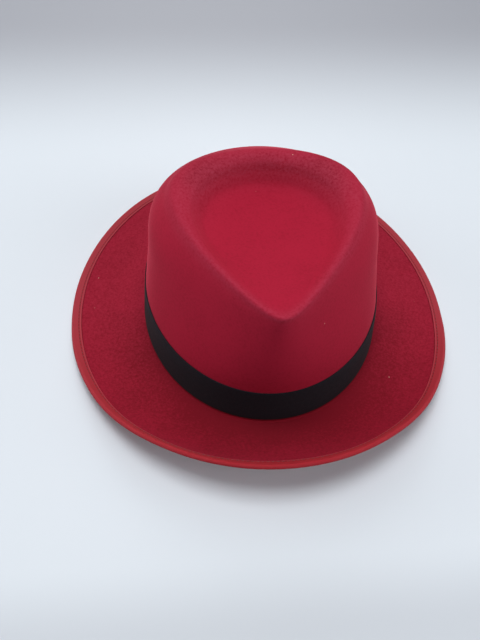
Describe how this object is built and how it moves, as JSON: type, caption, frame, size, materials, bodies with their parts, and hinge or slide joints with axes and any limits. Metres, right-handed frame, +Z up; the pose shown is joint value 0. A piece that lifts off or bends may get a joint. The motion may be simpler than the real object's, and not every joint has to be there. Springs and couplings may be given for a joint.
{
  "type": "felt fedora hat",
  "caption": "Adult felt fedora with a teardrop crown, a plain ribbon band and a ribbon-bound brim that turns up at the front.",
  "frame": {"origin": "middle of the hat's outline, on the surface that it rests on", "axes": "-Y towards the point of the crown's teardrop, which is the front, +Z up, +X to the right of someone who looks at the front"},
  "size_m": [0.2778, 0.2967, 0.1077],
  "materials": {
    "felt": "matt red pressed felt with a short nap",
    "band_ribbon": "black ribbed ribbon, dull sheen",
    "binding_ribbon": "warm red woven ribbon, stitched near its inner edge"
  },
  "bodies": {
    "root": {"felt_body": "felt", "hat_band": "band_ribbon", "brim_binding": "binding_ribbon"}
  },
  "joints": []
}
